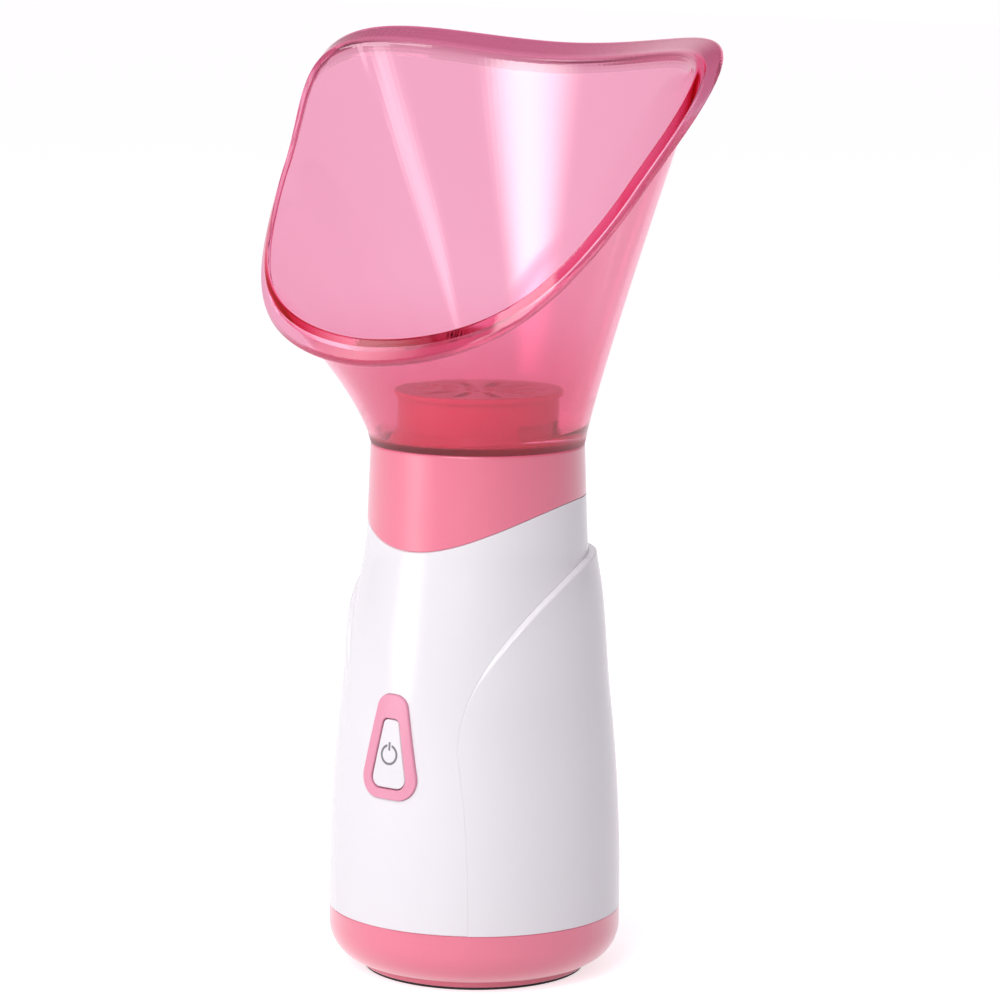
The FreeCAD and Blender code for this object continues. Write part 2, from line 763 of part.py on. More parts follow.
def mark_shape():
    """Power mark let into the cap's face: a ring open at the top, with a short upright bar."""
    reach = 2 * base_r
    centre = vec(0, -reach, button_z)
    ring = rod(mark_r, centre, centre + vec(0, reach, 0))
    ring = ring.cut(rod(mark_r - mark_line, centre, centre + vec(0, reach, 0)))
    ring = ring.cut(block(mark_gap, 2 * reach, mark_r, vec(0, -reach, button_z + mark_r)))
    bar = block(mark_line, 2 * reach, mark_r * 0.8, vec(0, -reach, button_z + mark_r * 0.8))
    band = skin(cap_proud - mark_depth, cap_proud)
    return Part.makeCompound([ring.common(band), bar.common(band)])


def plunger_tip_y():
    return switch_front_y - button_travel - fit_gap


def make_switch():
    body = block(switch_side, switch_depth, switch_side, vec(0, board_y - switch_depth / 2, button_z))
    well = rod(plunger_r + run_gap / 3, vec(0, switch_front_y, button_z), vec(0, board_y - 1, button_z))
    return body.cut(well)


def make_plunger():
    inner_y = board_y - 1 - button_travel - run_gap
    return rod(plunger_r, vec(0, inner_y, button_z), vec(0, plunger_tip_y(), button_z))


# --- control board --------------------------------------------------------------------------
def make_board():
    middle = vec(0, board_y + board_t / 2, board_low_z + board_h / 2)
    board = block(board_w, board_t, board_h, middle)
    for place in board_places():
        board = board.cut(rod(board_screw_r + fit_gap, place, place + vec(0, board_t, 0)))
    return board


def make_board_screws():
    out = vec(0, -1, 0)
    places = [place + vec(0, board_t, 0) for place in board_places()]
    return small_screws(places, board_screw_len, out)


def make_led():
    base = vec(led_x, board_y, button_z)
    tip = base - vec(0, led_len, 0)
    return join([rod(led_r, base, tip), Part.makeSphere(led_r, tip)])


def on_board(width, depth, height, x, z):
    """A component standing on the board's back."""
    return block(width, depth, height, vec(x, board_back_y + depth / 2, z))


def make_triac():
    body = on_board(triac_w, triac_t, triac_h, triac_x, triac_z)
    tab = vec(triac_x, board_back_y, triac_z + triac_h / 2 - triac_w / 3)
    return body.cut(rod(triac_hole_r, tab, tab + vec(0, triac_t, 0)))


def make_capacitor():
    body = on_board(cap_w, cap_t, cap_h, cap_x, cap_z)
    return body.makeFillet(0.8, body.Edges)


def block_ways():
    """The terminal block's four ways, from left to right."""
    first = -(block_way_count - 1) * block_pitch / 2
    return [first + i * block_pitch for i in range(block_way_count)]


def make_terminal_block():
    body = on_board(block_way_count * block_pitch, block_t, block_h, 0, block_z)
    back = board_back_y + block_t
    for x in block_ways():
        entry = vec(x, back, block_z - block_h * 0.2)
        body = body.cut(rod(lead_r + fit_gap, entry - vec(0, block_t / 2, 0), entry))
        clamp = vec(x, back - block_t * 0.7, block_z + block_h / 2)
        body = body.cut(rod(lead_r * 1.3, clamp - vec(0, 0, block_h * 0.3), clamp))
    return body


# --- mains inlet ----------------------------------------------------------------------------
def stadium(width, height, low_y, high_y):
    """A bar with round ends, seen from the back, between two depths."""
    r = height / 2
    x = width / 2 - r
    bar = block(2 * x, high_y - low_y, height, vec(0, (low_y + high_y) / 2, inlet_z))
    ends = [rod(r, vec(side * x, low_y, inlet_z), vec(side * x, high_y, inlet_z)) for side in (-1, 1)]
    return join([bar] + ends)


def inlet_floor_y():
    return inlet_face_y - inlet_depth


def inlet_screw_places():
    return [vec(x, inlet_pad_y, inlet_z) for x in (-inlet_screw_x, inlet_screw_x)]


def make_inlet():
    low = inlet_floor_y() - inlet_floor
    body = stadium(inlet_w, inlet_h, low, inlet_face_y)
    plate_w = 2 * (inlet_screw_x + inlet_flange)
    plate = stadium(plate_w, inlet_h + inlet_flange, inlet_pad_y - inlet_flange_t, inlet_pad_y)
    body = join([body, plate])
    recess = stadium(inlet_w - 2 * inlet_wall, inlet_h - 2 * inlet_wall, inlet_floor_y(), inlet_face_y)
    body = body.cut(recess)
    for place in inlet_screw_places():
        body = body.cut(rod(board_screw_r + fit_gap, place - vec(0, inlet_flange_t, 0), place))
    for x in (-pin_pitch / 2, pin_pitch / 2):
        body = body.cut(rod(pin_tail_r, vec(x, low, inlet_z), vec(x, inlet_floor_y(), inlet_z)))
    return body


def make_inlet_screws():
    places = [place - vec(0, inlet_flange_t, 0) for place in inlet_screw_places()]
    return small_screws(places, inlet_screw_len, vec(0, 1, 0))


def make_inlet_pins():
    pins = []
    floor_y = inlet_floor_y()
    for x in (-pin_pitch / 2, pin_pitch / 2):
        pin = rod(pin_r, vec(x, floor_y, inlet_z), vec(x, floor_y + pin_len, inlet_z))
        tail_y = floor_y - inlet_floor - pin_tail_len
        tail = rod(pin_tail_r, vec(x, tail_y, inlet_z), vec(x, floor_y + 1, inlet_z))
        pins.append(join([pin, tail]))
    return Part.makeCompound(pins)


# --- leads ----------------------------------------------------------------------------------
def lead(points):
    """An insulated lead: straight runs joined by arcs as large as the runs allow."""
    edges = []
    start = points[0]
    for before, corner, after in zip(points, points[1:], points[2:]):
        back = before - corner
        on = after - corner
        reach = 0.45 * min(back.Length, on.Length)
        back.normalize()
        on.normalize()
        half = (math.pi - back.getAngle(on)) / 2
        bend = reach / math.tan(half)
        inward = back + on
        inward.normalize()
        middle = corner + inward * (bend / math.cos(half) - bend)
        edges.append(Part.LineSegment(start, corner + back * reach).toShape())
        edges.append(Part.Arc(corner + back * reach, middle, corner + on * reach).toShape())
        start = corner + on * reach
    edges.append(Part.LineSegment(start, points[-1]).toShape())
    path = Part.Wire(edges)
    ring = Part.Wire([Part.makeCircle(lead_r, points[0], points[1] - points[0])])
    return path.makePipeShell([ring], True, False)


def block_entry(way):
    """Where a lead ends inside the terminal block."""
    return vec(block_ways()[way], board_back_y + block_t * 0.55, block_z - block_h * 0.2)


def mains_lead(side, way):
    """From one inlet pin's tail forward to the terminal block."""
    entry = block_entry(way)
    tail = vec(side * pin_pitch / 2, inlet_floor_y() - inlet_floor - pin_tail_len - fit_gap / 2, inlet_z)
    run = (tail.y - entry.y) / 3
    low = vec(tail.x, tail.y - run, tail.z)
    high = vec(entry.x, entry.y + run, entry.z)
    return lead([tail, low, high, entry])


def heater_lead(way, side):
    """From the terminal block back and up to the flat terminal at one end of the heater."""
    entry = block_entry(way)
    blade = blade_middle(side) - vec(0, 0, blade_t / 2)
    low = vec(entry.x, board_back_y + block_t + lead_reach, entry.z)
    half_way = (low + blade) / 2
    under = blade - vec(0, 0, lead_reach)
    return lead([entry, low, half_way, under, blade])


def blade_middle(side):
    """Middle of the flat terminal at one end of the heater element."""
    return vec(side * (ptc_len + blade_len) / 2, 0, ptc_low_z + ptc_t / 2)


def ptc_blade(side):
    return block(blade_len, blade_w, blade_t, blade_middle(side))


# --- water cup and heater stack -------------------------------------------------------------
def cup_body(radius, low):
    """The solid a drawn cup of this radius fills, with a rounded bottom edge."""
    cup = Part.makeCylinder(radius, flange_top_z - low, vec(0, 0, low))
    edge = [e for e in cup.Edges if abs(e.CenterOfMass.z - low) < 0.01 and e.Closed]
    return cup.makeFillet(cup_corner, edge)


def stud_places():
    return [vec(0, side * stud_y, 0) for side in (-1, 1)]


def make_water_cup():
    cup = cup_body(cup_r, cup_low_z)
    flange = Part.makeCylinder(cup_flange_r, cup_wall, vec(0, 0, flange_low_z))
    cup = join([cup, flange]).cut(cup_body(cup_r - cup_wall, cup_low_z + cup_wall))
    for place in stud_places():
        low = clamp_low_z - nut_t - stud_r / 2
        stud = rod(stud_r, place + vec(0, 0, cup_low_z + cup_wall / 2), place + vec(0, 0, low))
        cup = join([cup, stud])
    return cup


def make_cup_gasket():
    return tube(cup_flange_r, cup_r + run_gap, gasket_low_z, gasket_low_z + gasket_t)


def drilled(shape):
    for place in stud_places():
        hole = rod(stud_r + fit_gap, place + vec(0, 0, clamp_low_z), place + vec(0, 0, cup_low_z))
        shape = shape.cut(hole)
    return shape


def make_heater_plate():
    return drilled(Part.makeCylinder(plate_r, plate_t, vec(0, 0, plate_low_z)))


def make_ptc_heater():
    body = block(ptc_len, ptc_w, ptc_t, vec(0, 0, ptc_low_z + ptc_t / 2))
    return join([body, ptc_blade(-1), ptc_blade(1)])


def make_clamp_plate():
    length = 2 * (stud_y + nut_af)
    return drilled(block(clamp_w, length, clamp_t, vec(0, 0, clamp_low_z + clamp_t / 2)))


def make_clamp_nuts():
    nuts = []
    low = clamp_low_z - nut_t
    for place in stud_places():
        corners = [place + on_circle(nut_af / math.sqrt(3), 60 * i, low) for i in range(7)]
        nut = Part.Face(Part.makePolygon(corners)).extrude(vec(0, 0, nut_t))
        nuts.append(nut.cut(rod(stud_r + thread_gap, place + vec(0, 0, low), place + vec(0, 0, clamp_low_z))))
    return Part.makeCompound(nuts)


def thermostat_low():
    return clamp_low_z - thermostat_h


def make_thermostat():
    can = Part.makeCylinder(thermostat_r, thermostat_h, vec(0, 0, thermostat_low()))
    blades = []
    for side in (-1, 1):
        centre = vec(side * thermostat_r * 0.55, 0, thermostat_low() - blade_len / 2)
        blades.append(block(blade_t, blade_w, blade_len, centre))
    return join([can] + blades)


def make_thermal_fuse():
    z = clamp_low_z - fuse_r
    return rod(fuse_r, vec(fuse_x, -fuse_len / 2, z), vec(fuse_x, fuse_len / 2, z))


# --- steam nozzle ---------------------------------------------------------------------------
def make_nozzle_cap():
    plug_r = cup_r - cup_wall - run_gap
    plate_low = nozzle_top_z - nozzle_plate_t
    plug_z = nozzle_seat_z - nozzle_plug_h
    outside = spun([
        (0, plug_z),
        (plug_r, plug_z),
        (plug_r, nozzle_seat_z),
        (nozzle_foot_r, nozzle_seat_z),
        (nozzle_foot_r, nozzle_foot_top_z),
        (nozzle_drum_r, nozzle_drum_low_z),
        (nozzle_drum_r, plate_low),
        (nozzle_plate_r, plate_low),
        (nozzle_plate_r, nozzle_top_z),
        (0, nozzle_top_z),
    ])
    inside = spun([
        (0, plug_z),
        (plug_r - nozzle_wall, plug_z),
        (plug_r - nozzle_wall, baffle_seat_z()),
        (nozzle_drum_r - nozzle_wall, baffle_seat_z()),
        (nozzle_drum_r - nozzle_wall, nozzle_top_z - nozzle_wall),
        (0, nozzle_top_z - nozzle_wall),
    ])
    nozzle = outside.cut(inside)
    for i in range(slot_count):
        nozzle = nozzle.cut(steam_slot(360 * i / slot_count))
    for i in range(hub_hole_count):
        place = on_circle(hub_hole_ring_r, 90 + 360 * i / hub_hole_count)
        hole = rod(hub_hole_r, place + vec(0, 0, plate_low - wall), place + vec(0, 0, nozzle_top_z))
        nozzle = nozzle.cut(hole)
    nozzle = soften(nozzle, touch_round, lambda p: on_level(p, nozzle_top_z))
    for side in (-1, 1):
        nozzle = nozzle.cut(grip_recess(side))
    return nozzle


def baffle_seat_z():
    return nozzle_seat_z + nozzle_wall


def steam_slot(angle):
    """A round-ended radial slot in the nozzle's top plate."""
    r = slot_w / 2
    height = nozzle_plate_t + wall
    low = nozzle_top_z - height
    start = slot_in_r + r
    end = nozzle_drum_r - slot_edge - r
    bar = Part.makeBox(end - start, slot_w, height, vec(start, -r, low))
    ends = [Part.makeCylinder(r, height, vec(x, 0, low)) for x in (start, end)]
    slot = join([bar] + ends)
    slot.rotate(vec(0, 0, 0), vec(0, 0, 1), angle)
    return slot


def grip_recess(side):
    """A shallow window in the drum's side for a finger nail."""
    low = nozzle_seat_z + grip_low_h
    high = nozzle_seat_z + grip_high_h
    ring = tube(nozzle_foot_r + 1, nozzle_drum_r - grip_depth, low, high)
    middle = vec(side * nozzle_foot_r, 0, (low + high) / 2)
    return ring.common(block(nozzle_foot_r, grip_w, high - low, middle))


def make_baffle():
    radius = nozzle_drum_r - nozzle_wall - fit_gap
    disc = Part.makeCylinder(radius, baffle_t, vec(0, 0, baffle_seat_z()))
    for i in range(baffle_hole_count):
        place = on_circle(baffle_ring_r, 360 * i / baffle_hole_count, baffle_seat_z())
        disc = disc.cut(rod(baffle_hole_r, place, place + vec(0, 0, baffle_t)))
    return disc


def make_nozzle_gasket():
    return tube(nozzle_foot_r - fit_gap, cup_r - cup_wall + fit_gap, flange_top_z, nozzle_seat_z)


# --- mask -----------------------------------------------------------------------------------
def mouth_point(angle, lip):
    """A point of the mouth's edge (lip 0) or of the turned-out lip's edge (lip 1).

    The loop is a rounded shape, wider at the brow than at the chin, laid in a plane that leans
    back and then curled forward at its sides. Angle 90 is the brow, 270 the chin.
    """
    c = math.cos(angle)
    s = math.sin(angle)
    power = mouth_chin_power if s < 0 else mouth_brow_power
    reach = (abs(c) ** power + abs(s) ** power) ** (-1 / power)
    across = reach * c
    up = reach * s
    half_w = mouth_half_w + lip * lip_side
    spread = 1 + mouth_spread * up + mouth_spread_2 * up * up
    x = half_w * across * spread
    side = (x / half_w) ** 2
    length = mouth_len + lip * (lip_chin + lip_brow)
    rise = length / 2 * (1 + up) - lip * lip_chin
    back = mouth_curl * side + mouth_corner_curl * side * up + lip * lip_back
    tilt = math.radians(mouth_tilt)
    y = mouth_low_y + rise * math.sin(tilt) + back * math.cos(tilt)
    z = mouth_low_z + rise * math.cos(tilt) - back * math.sin(tilt)
    return vec(x, y, z)


def inner_point(angle, up):
    """A point of the mask's inner wall, from the neck (up 0) to the mouth's edge (up 1)."""
    radius = collar_top_r - mask_wall
    foot = vec(radius * math.cos(angle), radius * math.sin(angle), collar_top_z)
    rim = mouth_point(angle, 0.0)
    front = ((1 - math.sin(angle)) / 2) ** 2
    flare = back_flare + (front_flare - back_flare) * front
    out = up ** flare
    span = rim - foot
    return foot + vec(span.x * out, span.y * out, span.z * up)


def outer_point(angle, up):
    """The inner wall's point moved out by the wall's thickness."""
    step = 0.01
    along = inner_point(angle + step, up) - inner_point(angle - step, up)
    rise = inner_point(angle, min(up + step, 1.0)) - inner_point(angle, up - step)
    normal = along.cross(rise)
    normal.normalize()
    return inner_point(angle, up) + normal * mask_wall


def mask_loop(point_at):
    """A closed smooth edge through points at even angles."""
    count = mask_ring_points
    angles = [2 * math.pi * i / count for i in range(count + 1)]
    loop = Part.BSplineCurve()
    loop.interpolate(Points=[point_at(a) for a in angles[:-1]], PeriodicFlag=True, Parameters=angles)
    return loop.toShape()


def neck_circle(radius, z):
    return mask_loop(lambda a: vec(radius * math.cos(a), radius * math.sin(a), z))


def band(a, b):
    """The surface between two loops: a flat annulus if they lie level, else straight across."""
    if max(a.BoundBox.ZMax, b.BoundBox.ZMax) - min(a.BoundBox.ZMin, b.BoundBox.ZMin) < 0.001:
        return Part.makeFace([Part.Wire([a]), Part.Wire([b])], "Part::FaceMakerBullseye")
    return Part.makeRuledSurface(a, b)


def face_back():
    """Step behind the mouth's plane that gives the lip its thickness."""
    tilt = math.radians(mouth_tilt)
    return vec(0, math.cos(tilt), -math.sin(tilt)) * mask_wall


def make_mask():
    shoulder = neck_shoulder_h / (mouth_low_z - collar_top_z)
    steps = [shoulder + (1 - shoulder) * i / mask_levels for i in range(mask_levels + 1)]
    inside = [mask_loop(lambda a, u=u: inner_point(a, u)) for u in steps]
    outside = [neck_circle(collar_top_r, collar_top_z)]
    outside += [mask_loop(lambda a, u=u: outer_point(a, u)) for u in steps[:-1]]
    lip_over = mask_loop(lambda a: mouth_point(a, 1.0))
    lip_under = mask_loop(lambda a: mouth_point(a, 1.0) + face_back())
    groove_top = seal_z + seal_w / 2
    groove_low = seal_z - seal_w / 2
    spigot = [
        (spigot_bore_r, collar_top_z), (spigot_bore_r, spigot_low_z), (spigot_r, spigot_low_z),
        (spigot_r, groove_low), (spigot_r - seal_depth, groove_low), (spigot_r - seal_depth, groove_top),
        (spigot_r, groove_top), (spigot_r, collar_top_z),
    ]
    loops = outside + [lip_under, lip_over] + inside[::-1] + [neck_circle(r, z) for r, z in spigot]
    pairs = zip(loops, loops[1:] + loops[:1])
    shell = Part.makeShell([face for pair in pairs for face in band(*pair).Faces])
    shell.sewShape()
    solid = Part.makeSolid(shell)
    if solid.Volume < 0:
        solid.reverse()
    return solid


def make_mask_seal():
    low = seal_z - seal_w / 2 + fit_gap
    high = seal_z + seal_w / 2 - fit_gap
    return tube(bore_r - fit_gap / 2, spigot_r - seal_depth + fit_gap, low, high)


# --- all nodes ------------------------------------------------------------------------------
save("front_housing", make_front_housing())
save("rear_housing", make_rear_housing())
save("collar_ring", make_collar())
save("collar_screws", make_collar_screws())
save("base_cover", make_base_cover())
save("foot_ring", make_foot_ring())
save("base_screws", make_base_screws())
save("button_bezel", make_bezel())
save("button_cap", make_button_cap())
save("power_mark", mark_shape())
save("push_switch", make_switch())
save("switch_plunger", make_plunger())
save("control_board", make_board())
save("board_screws", make_board_screws())
save("indicator_led", make_led())
save("heater_triac", make_triac())
save("film_capacitor", make_capacitor())
save("terminal_block", make_terminal_block())
save("inlet_socket", make_inlet())
save("inlet_screws", make_inlet_screws())
save("inlet_pins", make_inlet_pins())
save("lead_live", mains_lead(1, 2))
save("lead_neutral", mains_lead(-1, 1))
save("lead_heater_a", heater_lead(3, 1))
save("lead_heater_b", heater_lead(0, -1))
save("water_cup", make_water_cup())
save("cup_gasket", make_cup_gasket())
save("heater_plate", make_heater_plate())
save("ptc_heater", make_ptc_heater())
save("clamp_plate", make_clamp_plate())
save("clamp_nuts", make_clamp_nuts())
save("thermostat", make_thermostat())
save("thermal_fuse", make_thermal_fuse())
save("nozzle_cap", make_nozzle_cap())
save("splash_baffle", make_baffle())
save("nozzle_gasket", make_nozzle_gasket())
save("mask_seal", make_mask_seal())
save("face_mask", make_mask())
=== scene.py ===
import math
import bpy
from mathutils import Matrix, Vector


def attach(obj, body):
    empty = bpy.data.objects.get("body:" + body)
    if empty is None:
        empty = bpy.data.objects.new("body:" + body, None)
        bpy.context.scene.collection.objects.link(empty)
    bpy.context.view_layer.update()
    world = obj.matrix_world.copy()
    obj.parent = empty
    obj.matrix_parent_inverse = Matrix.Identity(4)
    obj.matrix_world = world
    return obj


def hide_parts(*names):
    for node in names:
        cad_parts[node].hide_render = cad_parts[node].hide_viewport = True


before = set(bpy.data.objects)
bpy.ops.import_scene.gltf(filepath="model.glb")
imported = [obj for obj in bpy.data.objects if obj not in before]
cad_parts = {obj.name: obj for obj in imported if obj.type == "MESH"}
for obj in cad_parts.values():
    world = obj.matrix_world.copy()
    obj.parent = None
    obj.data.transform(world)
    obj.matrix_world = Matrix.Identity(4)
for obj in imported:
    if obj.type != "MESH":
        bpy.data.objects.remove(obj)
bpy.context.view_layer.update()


# --- Table, light and camera ----------------------------------------------------------------
# The steamer stands on a white table in a white room with a dim front. A square lamp high in front
# lights it; a panel at the left and a strip at the right draw the long upright highlights in the
# clear mask, and a fainter panel high at the left catches its turned-out lip.

class Signal:
    """A number or colour that varies from point to point; sums on it add Math nodes."""

    def __init__(self, nodes, socket):
        self.nodes = nodes
        self.socket = socket

    def part(self, name):
        return Signal(self.nodes, self.socket.node.outputs[name])

    def math(self, operation, *terms):
        """One sum; on a vector it is done axis by axis, or scales the vector."""
        signals = [term for term in terms if isinstance(term, Signal)]
        vectors = [term for term in signals if term.socket.type == "VECTOR"]
        if len(vectors) == 1 and operation == "MULTIPLY":
            scale = terms[1] if terms[0] is vectors[0] else terms[0]
            sockets = {0: vectors[0], 3: scale}
            return self.nodes.node("ShaderNodeVectorMath", {"operation": "SCALE"}, sockets)
        kind = "ShaderNodeVectorMath" if vectors else "ShaderNodeMath"
        result = 1 if operation == "DOT_PRODUCT" else 0
        return self.nodes.node(kind, {"operation": operation}, dict(enumerate(terms)), result)

    def __add__(self, other):
        return self.math("ADD", self, other)

    def __radd__(self, other):
        return self.math("ADD", other, self)

    def __sub__(self, other):
        return self.math("SUBTRACT", self, other)

    def __rsub__(self, other):
        return self.math("SUBTRACT", other, self)

    def __mul__(self, other):
        return self.math("MULTIPLY", self, other)

    def __rmul__(self, other):
        return self.math("MULTIPLY", other, self)

    def __truediv__(self, other):
        return self.math("DIVIDE", self, other)

    def __rtruediv__(self, other):
        return self.math("DIVIDE", other, self)

    def __pow__(self, other):
        return self.math("POWER", self, other)

    def __gt__(self, other):
        return self.math("GREATER_THAN", self, other)

    def __abs__(self):
        return self.math("ABSOLUTE", self)

    def sin(self):
        return self.math("SINE", self)

    def cos(self):
        return self.math("COSINE", self)

    def min(self, other):
        return self.math("MINIMUM", self, other)

    def max(self, other):
        return self.math("MAXIMUM", self, other)

    def dot(self, other):
        return self.math("DOT_PRODUCT", self, other)

    def cross(self, other):
        return self.math("CROSS_PRODUCT", self, other)

    def unit(self):
        return self.math("NORMALIZE", self)


class Nodes:
    """A node tree that is being filled, for a finish or for a shape."""

    def __init__(self, tree):
        self.tree = tree
        self.tree.nodes.clear()

    def node(self, kind, settings=None, sockets=None, result=0):
        """A node with its settings made first and then its sockets; gives one of its outputs."""
        made = self.tree.nodes.new(kind)
        for name, value in (settings or {}).items():
            if name == "stops":
                self.set_stops(made.color_ramp, value)
            else:
                setattr(made, name, value)
        for name, value in (sockets or {}).items():
            for item in value if isinstance(value, list) else [value]:
                if isinstance(item, Signal):
                    self.tree.links.new(item.socket, made.inputs[name])
                else:
                    made.inputs[name].default_value = item
        return Signal(self, made.outputs[result]) if len(made.outputs) else None

    def inputs(self, values):
        """Named inputs of a shape, one for each value; whole numbers stay whole."""
        for name, value in values.items():
            kind = "NodeSocketInt" if isinstance(value, int) else "NodeSocketFloat"
            self.tree.interface.new_socket(name, in_out="INPUT", socket_type=kind)
        start = self.node("NodeGroupInput")
        return {name: start.part(name) for name in values}

    def output(self, name, kind, value):
        self.tree.interface.new_socket(name, in_out="OUTPUT", socket_type=kind)
        self.node("NodeGroupOutput", {}, {name: value})

    def point(self, x, y, z):
        return self.node("ShaderNodeCombineXYZ", {}, {0: x, 1: y, 2: z})

    def finish_shape(self, geometry, finish):
        """End a shape: its instances made real, and its finish put on."""
        real = self.node("GeometryNodeRealizeInstances", {}, {"Geometry": geometry})
        dressed = self.node("GeometryNodeSetMaterial", {}, {"Geometry": real, "Material": finish})
        self.output("Geometry", "NodeSocketGeometry", dressed)

    def set_stops(self, ramp, stops):
        while len(ramp.elements) < len(stops):
            ramp.elements.new(1.0)
        for element, (place, level) in zip(ramp.elements, stops):
            element.position = place
            element.color = (level, level, level, 1.0)

    def mix(self, share, first, second):
        """A colour between two colours."""
        return self.node("ShaderNodeMix", {"data_type": "RGBA"}, {0: share, 6: first, 7: second}, 2)


def new_finish(name):
    material = bpy.data.materials.new(name)
    material.use_nodes = True
    return material, Nodes(material.node_tree)


at_least_once = 0.5     # a ray's count of bounces is above this once it has made one


def to_white(nodes, lit, seen_level, through_level, mirrored_level):
    """The level of a light: where it lights things, is seen, is seen through a wall or mirrored."""
    path = nodes.node("ShaderNodeLightPath")
    seen = path.part("Is Camera Ray")
    passed = path.part("Is Transmission Ray").max(path.part("Transmission Depth") > at_least_once)
    through = passed * (1 - seen)
    mirrored = path.part("Is Glossy Ray") * (1 - seen) * (1 - through)
    shown = seen * seen_level + through * through_level + mirrored * mirrored_level
    return shown + (1 - seen - through - mirrored) * lit


room_light = 0.45                # what the room gives to matt surfaces...
room_tint = (1.0, 0.91, 1.02, 1)     # ...and its tint there
untinted = (1, 1, 1, 1)
room_front = (0.6, -0.8, 0.0)    # the side of the room without white walls
wall_stops = [
    # (how far round from the back wall to the front, level) where a wall is mirrored
    (0.0, 1.0), (0.03, 0.85), (0.20, 0.32), (0.45, 0.25), (0.80, 0.06),
]
straight_up = (0.0, 0.0, 1.0)
ceiling_start = 0.3              # the walls turn into the dimmer ceiling over these slopes
ceiling_whole = 0.8
ceiling_level = 0.35

room = bpy.data.worlds.new("room")
bpy.context.scene.world = room
room.use_nodes = True
walls = Nodes(room.node_tree)
way = walls.node("ShaderNodeTexCoord", result="Generated")
facing = way.dot(room_front)
half_share = 0.5                 # turns -1 to 1 into 0 to 1
turned_share = facing * half_share + half_share
turned = walls.node("ShaderNodeValToRGB", {"stops": wall_stops}, {"Fac": turned_share})
ceiling = walls.node("ShaderNodeMapRange", {"interpolation_type": "SMOOTHSTEP"}, {
    "Value": way.dot(straight_up), "From Min": ceiling_start, "From Max": ceiling_whole,
    "To Min": 1.0, "To Max": ceiling_level,
})
strength = to_white(walls, room_light, 1.0, ceiling, ceiling * turned)
unlit = walls.node("ShaderNodeLightPath").part("Is Diffuse Ray")
tinted = walls.mix(unlit, untinted, room_tint)
wall_light = walls.node("ShaderNodeBackground", {}, {"Color": tinted, "Strength": strength})
walls.node("ShaderNodeOutputWorld", {}, {"Surface": wall_light})

table_size = 12.0
table_colour = (0.80, 0.80, 0.80, 1)
table_roughness = 0.9
table_glow = 0.66                # what the table shows beyond what lights it
table_finish, top = new_finish("table_white")
top_sockets = {"Base Color": table_colour, "Roughness": table_roughness}
matt = top.node("ShaderNodeBsdfPrincipled", {}, top_sockets)
shown_glow = to_white(top, 0.0, table_glow, table_glow, table_glow)
glow = top.node("ShaderNodeEmission", {}, {"Strength": shown_glow})
table_light = top.node("ShaderNodeAddShader", {}, {0: matt, 1: glow})
top.node("ShaderNodeOutputMaterial", {}, {"Surface": table_light})

half = table_size / 2
table_corners = [(-half, -half, 0), (half, -half, 0), (half, half, 0), (-half, half, 0)]
table_mesh = bpy.data.meshes.new("table")
table_mesh.from_pydata(table_corners, [], [(0, 1, 2, 3)])
table_mesh.materials.append(table_finish)
table = bpy.data.objects.new("table", table_mesh)
bpy.context.scene.collection.objects.link(table)

lamps = {
    # name: (place, target, width, height, watts, share of the half width over which it fades in)
    "front_key": ((0.34, -1.18, 1.15), (0, 0, 0.12), 0.90, 0.90, 13.9, 0.2),
    "left_panel": ((-0.70, -1.20, 0.24), (0, 0, 0.24), 0.84, 0.30, 8.0, 0.95),
    "right_strip": ((0.60, -1.42, 0.62), (0, 0, 0.25), 0.60, 0.30, 2.2, 0.9),
    "lip_panel": ((-0.96, -0.96, 1.08), (0, 0, 0.2), 1.00, 0.50, 5.6, 0.95),
}
for name, (spot, target, width, height, watts, fade) in lamps.items():
    light = bpy.data.lights.new(name, "AREA")
    light.shape = "RECTANGLE"
    light.size = width
    light.size_y = height
    light.energy = watts
    light.use_nodes = True
    cover = Nodes(light.node_tree)
    on_cover = cover.node("ShaderNodeNewGeometry", result="Parametric")
    across = cover.node("ShaderNodeSeparateXYZ", {}, {"Vector": on_cover})
    soft = 1.0
    for side, reach in (("X", fade), ("Y", fade / 2)):
        from_edge = {"Value": 1 - abs(across.part(side) * 2 - 1), "From Max": reach}
        rising = cover.node("ShaderNodeMapRange", {"interpolation_type": "SMOOTHSTEP"}, from_edge)
        soft = soft * rising
    lit = cover.node("ShaderNodeEmission", {}, {"Strength": soft})
    cover.node("ShaderNodeOutputLight", {}, {"Surface": lit})
    lamp = bpy.data.objects.new(name, light)
    lamp.location = spot
    lamp.rotation_euler = (Vector(target) - Vector(spot)).to_track_quat("-Z", "Y").to_euler()
    bpy.context.scene.collection.objects.link(lamp)

bpy.context.scene.view_settings.view_transform = "Standard"

camera_turn = math.radians(37.0)     # round the steamer, from its front towards its right
camera_reach = 1.2076                # level distance from the steamer's axis
camera_height = 0.3247
camera_pitch = math.radians(8.9)
camera_roll = math.radians(0.5)
camera_lens = 151.7                  # focal length and sensor width in millimetres
camera_sensor = 36.0
aside = 0.00655                      # the point looked at lies off the axis by these
above = 0.0020
sight = Vector((math.cos(camera_turn), math.sin(camera_turn), 0)) * aside
sight.z = camera_height - camera_reach * math.tan(camera_pitch) + above
lens = bpy.data.cameras.new("camera")
lens.lens = camera_lens
lens.sensor_width = camera_sensor
camera = bpy.data.objects.new("camera", lens)
stand_x = math.sin(camera_turn) * camera_reach
stand_y = -math.cos(camera_turn) * camera_reach
camera.location = (stand_x, stand_y, camera_height)
camera.rotation_euler = (sight - camera.location).to_track_quat("-Z", "Y").to_euler()
camera.rotation_euler.rotate_axis("Z", camera_roll)
bpy.context.scene.collection.objects.link(camera)
bpy.context.scene.camera = camera


